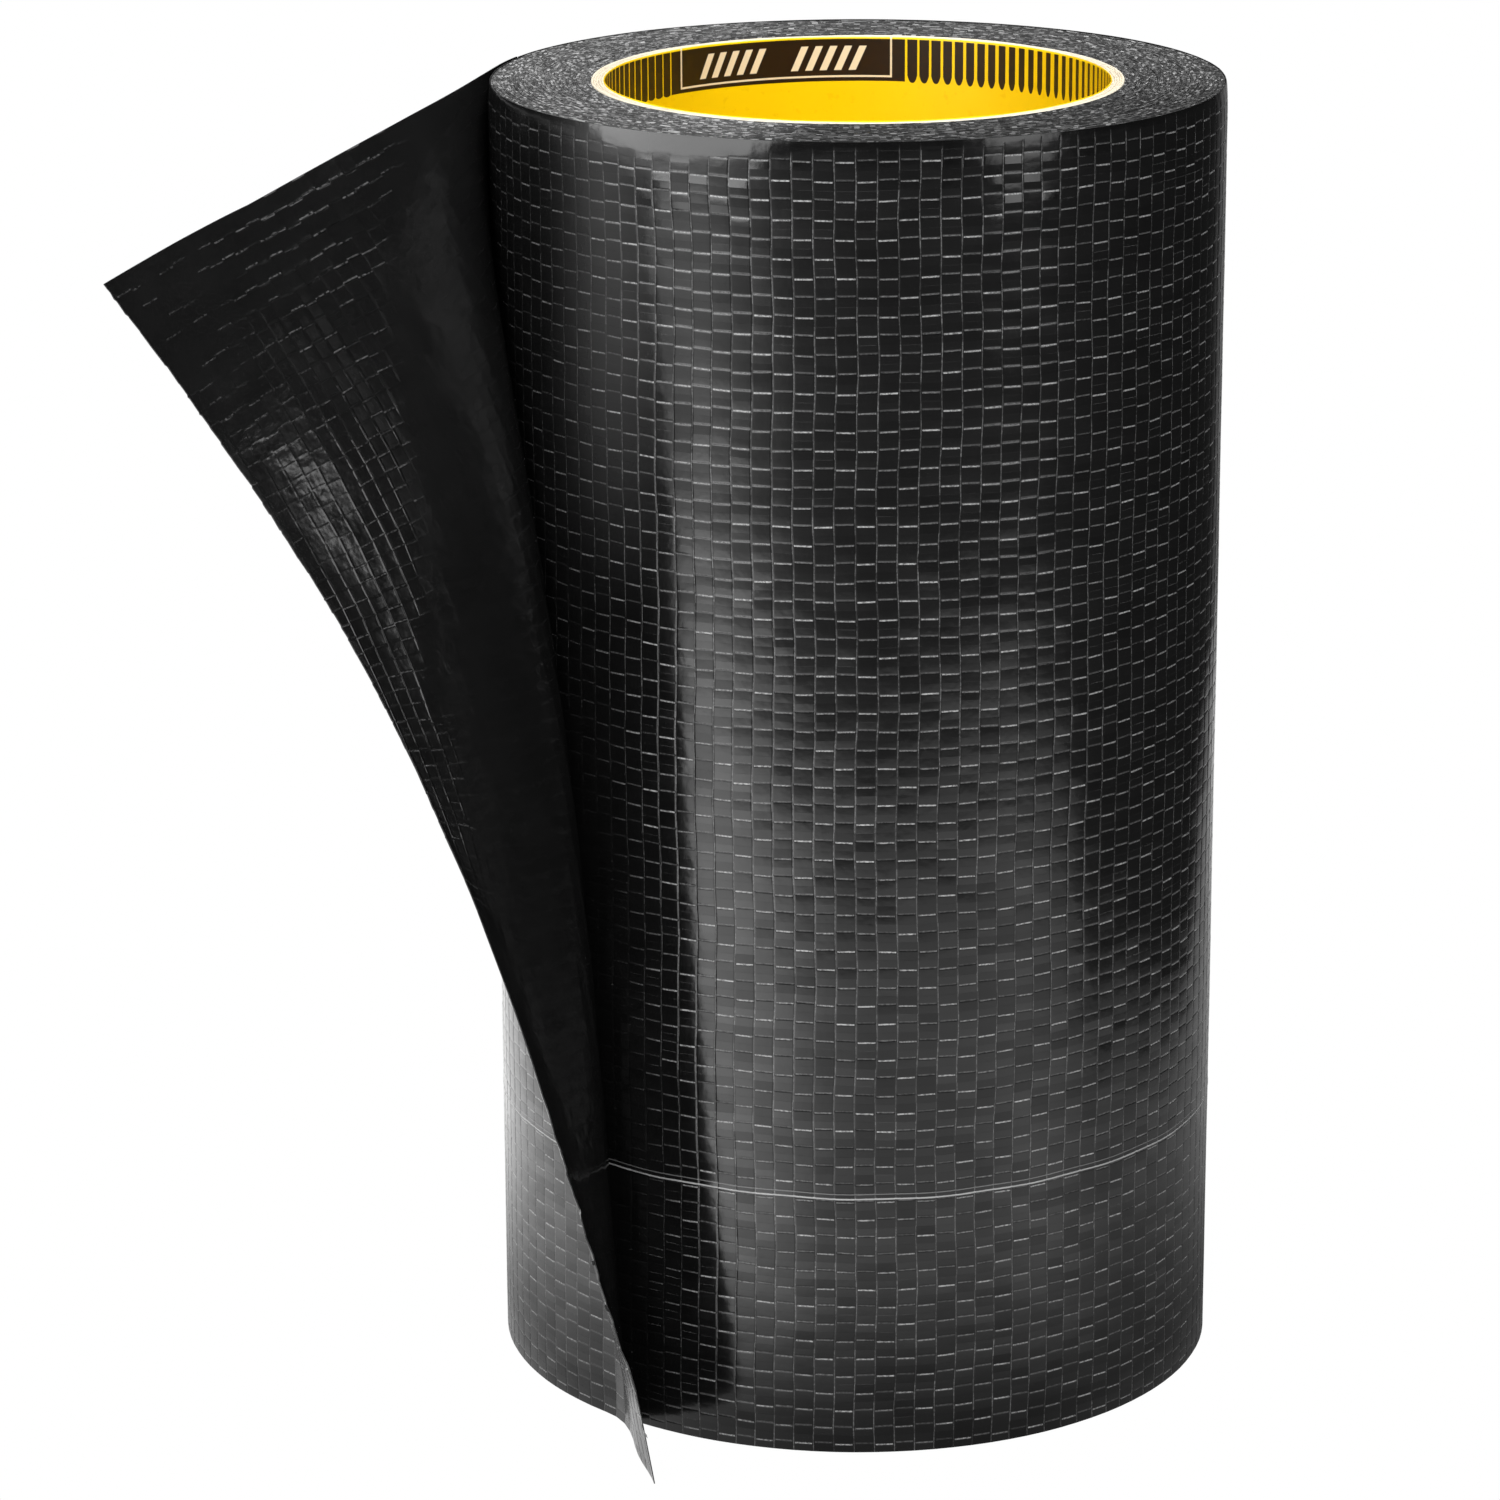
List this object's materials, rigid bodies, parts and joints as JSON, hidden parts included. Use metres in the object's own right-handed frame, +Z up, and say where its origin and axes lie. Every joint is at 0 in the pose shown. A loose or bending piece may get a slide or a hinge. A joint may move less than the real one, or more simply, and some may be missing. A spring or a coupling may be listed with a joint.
{
  "type": "roll of tape",
  "caption": "Wide roll of woven cloth tape on a paperboard core, standing on end, with its free end peeled open; the core's bore takes a spindle.",
  "frame": {"origin": "centre of the core's bore at the lower end face", "axes": "+Z up along the core; the free end of the tape points along -Y and -X"},
  "size_m": [0.1607, 0.1318, 0.2],
  "materials": {
    "printed_liner": "satin printed paper, yellow with a dark band",
    "face_board": "smooth pale paperboard",
    "kraft_board": "brown paperboard",
    "tape_edges": "cut edges of wound tape, fine rings",
    "tape_film": "gloss film over a flat-ribbon weave",
    "tape_cloth": "woven flat plastic ribbons",
    "tape_adhesive": "tacky, glossy, with the weave showing"
  },
  "bodies": {
    "roll": {"core_liner": "printed_liner", "core_ply_1": "kraft_board", "core_ply_2": "kraft_board", "core_ply_3": "kraft_board", "core_ply_4": "kraft_board", "core_face_ply": "face_board", "wound_turns": "tape_edges", "outer_turn_film": "tape_film", "outer_turn_cloth": "tape_cloth", "outer_turn_adhesive": "tape_adhesive", "tail_root_film": "tape_film", "tail_root_cloth": "tape_cloth", "tail_root_adhesive": "tape_adhesive", "frayed_ribbons": "tape_cloth", "swing_bend_film": "tape_film", "swing_bend_cloth": "tape_cloth", "swing_bend_adhesive": "tape_adhesive"},
    "tail_flap": {"tail_flap_film": "tape_film", "tail_flap_cloth": "tape_cloth", "tail_flap_adhesive": "tape_adhesive", "corner_bend_film": "tape_film", "corner_bend_cloth": "tape_cloth", "corner_bend_adhesive": "tape_adhesive"},
    "tail_corner": {"tail_corner_film": "tape_film", "tail_corner_cloth": "tape_cloth", "tail_corner_adhesive": "tape_adhesive"}
  },
  "joints": [
    {"name": "tail_swing", "type": "hinge", "parent": "roll", "child": "tail_flap", "pos_m": [-0.04278, -0.06889, 0.05196], "axis": [0.1297, -0.3537, -0.9263], "range_deg": [-45, 70], "deforming": ["swing_bend_film", "swing_bend_cloth", "swing_bend_adhesive"]},
    {"name": "corner_curl", "type": "hinge", "parent": "tail_flap", "child": "tail_corner", "pos_m": [-0.07441, -0.07553, 0.13773], "axis": [0.1659, -0.5229, -0.8361], "range_deg": [-60, 75], "deforming": ["corner_bend_film", "corner_bend_cloth", "corner_bend_adhesive"]}
  ]
}
